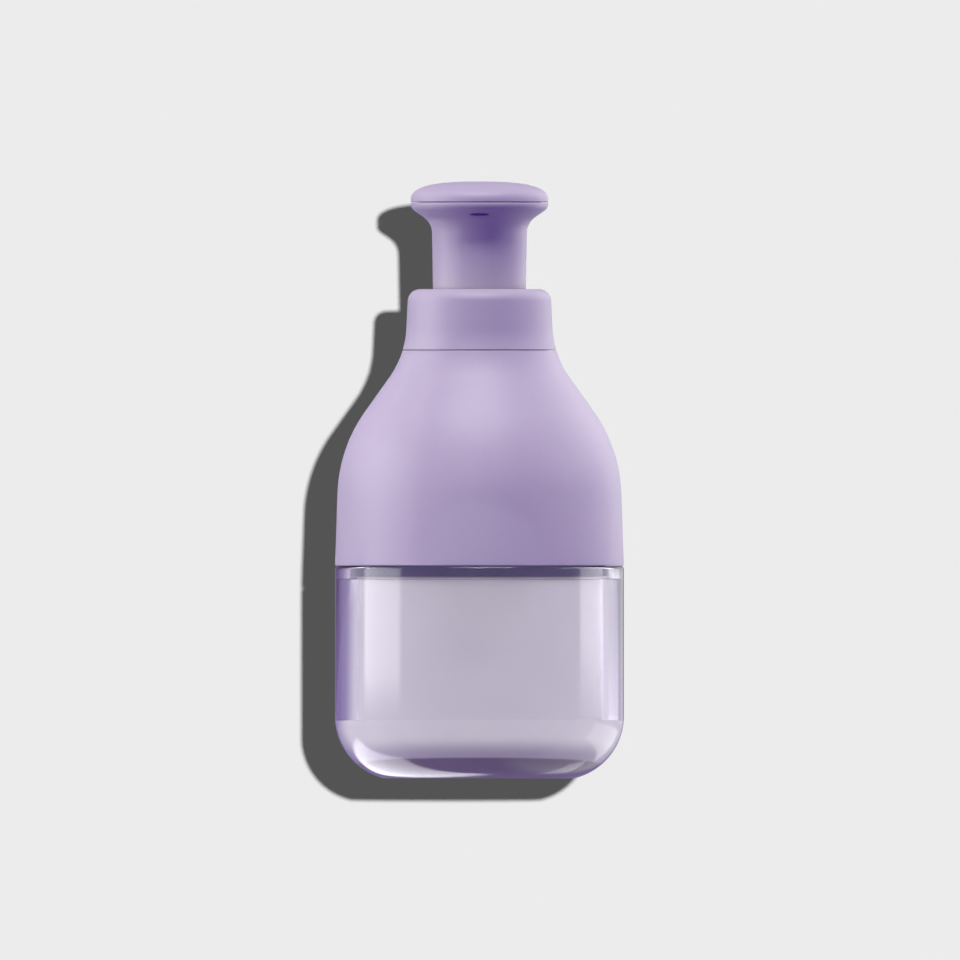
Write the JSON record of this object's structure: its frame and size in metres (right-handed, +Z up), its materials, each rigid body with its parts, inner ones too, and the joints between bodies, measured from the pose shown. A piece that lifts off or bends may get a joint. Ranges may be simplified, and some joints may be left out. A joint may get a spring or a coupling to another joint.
{
  "type": "soap pump bottle",
  "caption": "Round clear-jar soap bottle with a flowing matte shoulder and collar, a mushroom pump head on a tapering sleeve, and a lotion pump inside.",
  "frame": {"origin": "centre of the jar's flat underside, on the surface it stands on", "axes": "+Z up along the bottle's axis, -Y towards the outlet slit, +X to the right seen from the front"},
  "size_m": [0.0722, 0.0722, 0.1492],
  "materials": {
    "clear_violet": "clear, polished, tinted violet",
    "pale_bottle": "satin, opaque",
    "matte_lavender": "fine matte",
    "natural_plastic": "natural, unpainted",
    "white_foam": "closed-cell foam sheet",
    "spring_steel": "drawn stainless steel"
  },
  "bodies": {
    "bottle": {"jar": "clear_violet", "inner_bottle": "pale_bottle", "shoulder_cover": "matte_lavender"},
    "pump": {"pump_housing": "natural_plastic", "neck_gasket": "white_foam", "chaplet": "natural_plastic", "dip_tube": "natural_plastic", "return_spring": "spring_steel"},
    "closure": {"closure": "natural_plastic", "collar": "matte_lavender"},
    "piston": {"piston": "natural_plastic"},
    "head": {"stem": "natural_plastic", "piston_seat": "natural_plastic", "head_body": "matte_lavender", "head_cap": "matte_lavender", "spout_insert": "natural_plastic"},
    "ball": {"inlet_ball": "spring_steel"}
  },
  "joints": [
    {"name": "pump_lift", "type": "slide", "parent": "bottle", "child": "pump", "axis": [0, 0, 1], "range_m": [0, 0.11]},
    {"name": "collar_turn", "type": "hinge", "parent": "pump", "child": "closure", "pos_m": [0, 0, 0.1], "axis": [0, 0, 1], "range_deg": [0, 540]},
    {"name": "head_press", "type": "slide", "parent": "pump", "child": "piston", "axis": [0, 0, -1], "range_m": [0, 0.01], "stiffness_N_per_m": 600, "springref_m": -0.005, "deforming": ["return_spring"]},
    {"name": "head_turn", "type": "hinge", "parent": "piston", "child": "head", "pos_m": [0, 0, 0.12], "axis": [0, 0, 1], "continuous": true},
    {"name": "ball_lift", "type": "slide", "parent": "pump", "child": "ball", "axis": [0, 0, 1], "range_m": [0, 0.0015]}
  ]
}
